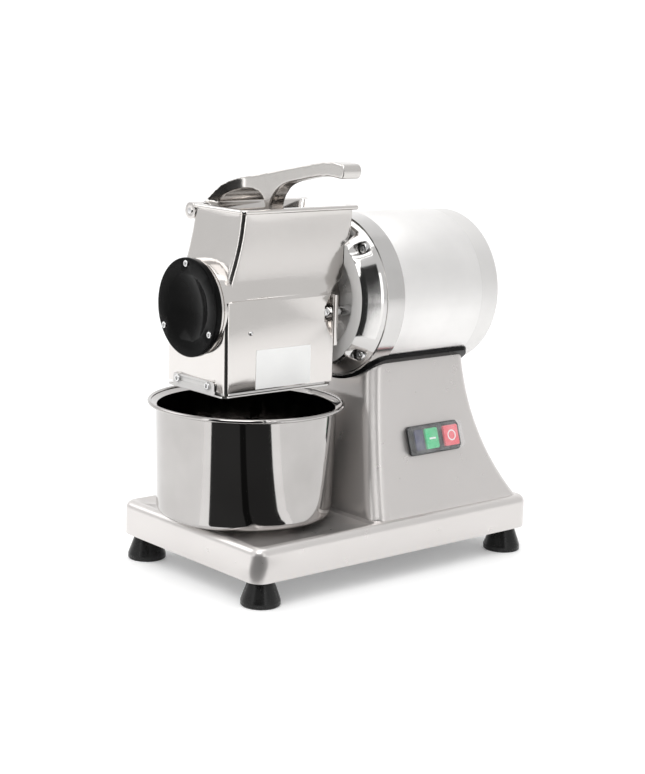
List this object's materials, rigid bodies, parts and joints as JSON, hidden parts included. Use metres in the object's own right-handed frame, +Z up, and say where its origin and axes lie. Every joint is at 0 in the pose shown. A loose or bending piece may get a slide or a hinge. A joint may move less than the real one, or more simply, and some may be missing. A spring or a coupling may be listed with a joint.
{
  "type": "shaved ice machine",
  "caption": "Electric shaved ice machine: a motor on a cast column turns a toothed drum under a lever-fed hopper, over a loose steel bowl.",
  "frame": {"origin": "on the worktop, midway between the four feet and on the machine's mid-plane", "axes": "+Z up, -Y towards the drum cap, +Y towards the motor's rear, +X towards the operator and the lever's end"},
  "size_m": [0.2357, 0.4061, 0.4146],
  "materials": {
    "base_paint": "satin cast and polished",
    "cover_steel": "plain sheet",
    "foot_rubber": "semi-gloss",
    "screw_steel": "polished",
    "gasket_rubber": "gloss",
    "iron": "rough",
    "switch_black": "satin",
    "button_green": "gloss",
    "button_red": "gloss",
    "lens_navy": "gloss",
    "boot_clear": "clear flexible plastic",
    "polished": "mirror polished casting",
    "brushed": "brushed",
    "rear_plastic": "satin",
    "copper": "wound wire on laminations",
    "bearing_steel": "ground",
    "black_plastic": "gloss",
    "drum_steel": "machined",
    "bronze": "plain",
    "label_white": "printed film",
    "cast_satin": "satin polished casting",
    "bowl_steel": "mirror polished sheet"
  },
  "bodies": {
    "frame": {"base_casting": "base_paint", "bottom_cover": "cover_steel", "foot_screws": "screw_steel", "column_casting": "base_paint", "column_bolts": "screw_steel", "saddle_gasket": "gasket_rubber", "motor_foot": "iron", "motor_foot_bolts": "screw_steel", "switch_housing": "switch_black", "pilot_lens": "lens_navy", "switch_cover": "boot_clear", "nose_flange": "polished", "nose_bolts": "screw_steel", "motor_front_ring": "brushed", "motor_shroud": "brushed", "motor_rear_cap": "rear_plastic", "rear_cap_screws": "screw_steel", "rear_shield": "iron", "bearing_front": "bearing_steel", "bearing_rear": "bearing_steel", "stator": "copper", "shaft_seal": "foot_rubber", "capacitor": "black_plastic", "cable_gland": "black_plastic", "chamber_housing": "cast_satin", "clamp_studs": "screw_steel", "stud_sleeves": "screw_steel", "dome_nuts": "screw_steel", "front_bearing_plate": "drum_steel", "front_bush": "bronze", "drum_cap": "black_plastic", "cap_screws": "screw_steel", "outlet_guard": "polished", "guard_screws": "screw_steel", "side_plugs": "screw_steel", "label_plate": "label_white", "hopper": "cast_satin", "hinge_pin": "screw_steel", "foot_rear_left": "foot_rubber", "foot_front_left": "foot_rubber", "foot_front_right": "foot_rubber", "foot_rear_right": "foot_rubber"},
    "lever": {"lever_handle": "cast_satin", "press_plate": "cast_satin", "plate_screw": "screw_steel"},
    "spindle": {"motor_shaft": "bearing_steel", "rotor": "iron", "cooling_fan": "black_plastic", "drum": "drum_steel", "drum_nut": "screw_steel"},
    "start_push": {"start_button": "button_green"},
    "stop_push": {"stop_button": "button_red"},
    "bowl_body": {"bowl": "bowl_steel"}
  },
  "joints": [
    {"name": "lever_hinge", "type": "hinge", "parent": "frame", "child": "lever", "pos_m": [-0.042, -0.093, 0.3586], "axis": [0, -1, 0], "range_deg": [0, 125]},
    {"name": "spindle_spin", "type": "hinge", "parent": "frame", "child": "spindle", "pos_m": [0, -0.1, 0.2721], "axis": [0, 1, 0], "continuous": true},
    {"name": "start_press", "type": "slide", "parent": "frame", "child": "start_push", "axis": [-0.9517, 0, -0.3071], "range_m": [0, 0.0025], "stiffness_N_per_m": 400},
    {"name": "stop_press", "type": "slide", "parent": "frame", "child": "stop_push", "axis": [-0.9517, 0, -0.3071], "range_m": [0, 0.0025], "stiffness_N_per_m": 400},
    {"name": "bowl_pull", "type": "slide", "parent": "frame", "child": "bowl_body", "axis": [0, -1, 0], "range_m": [0, 0.22]}
  ]
}
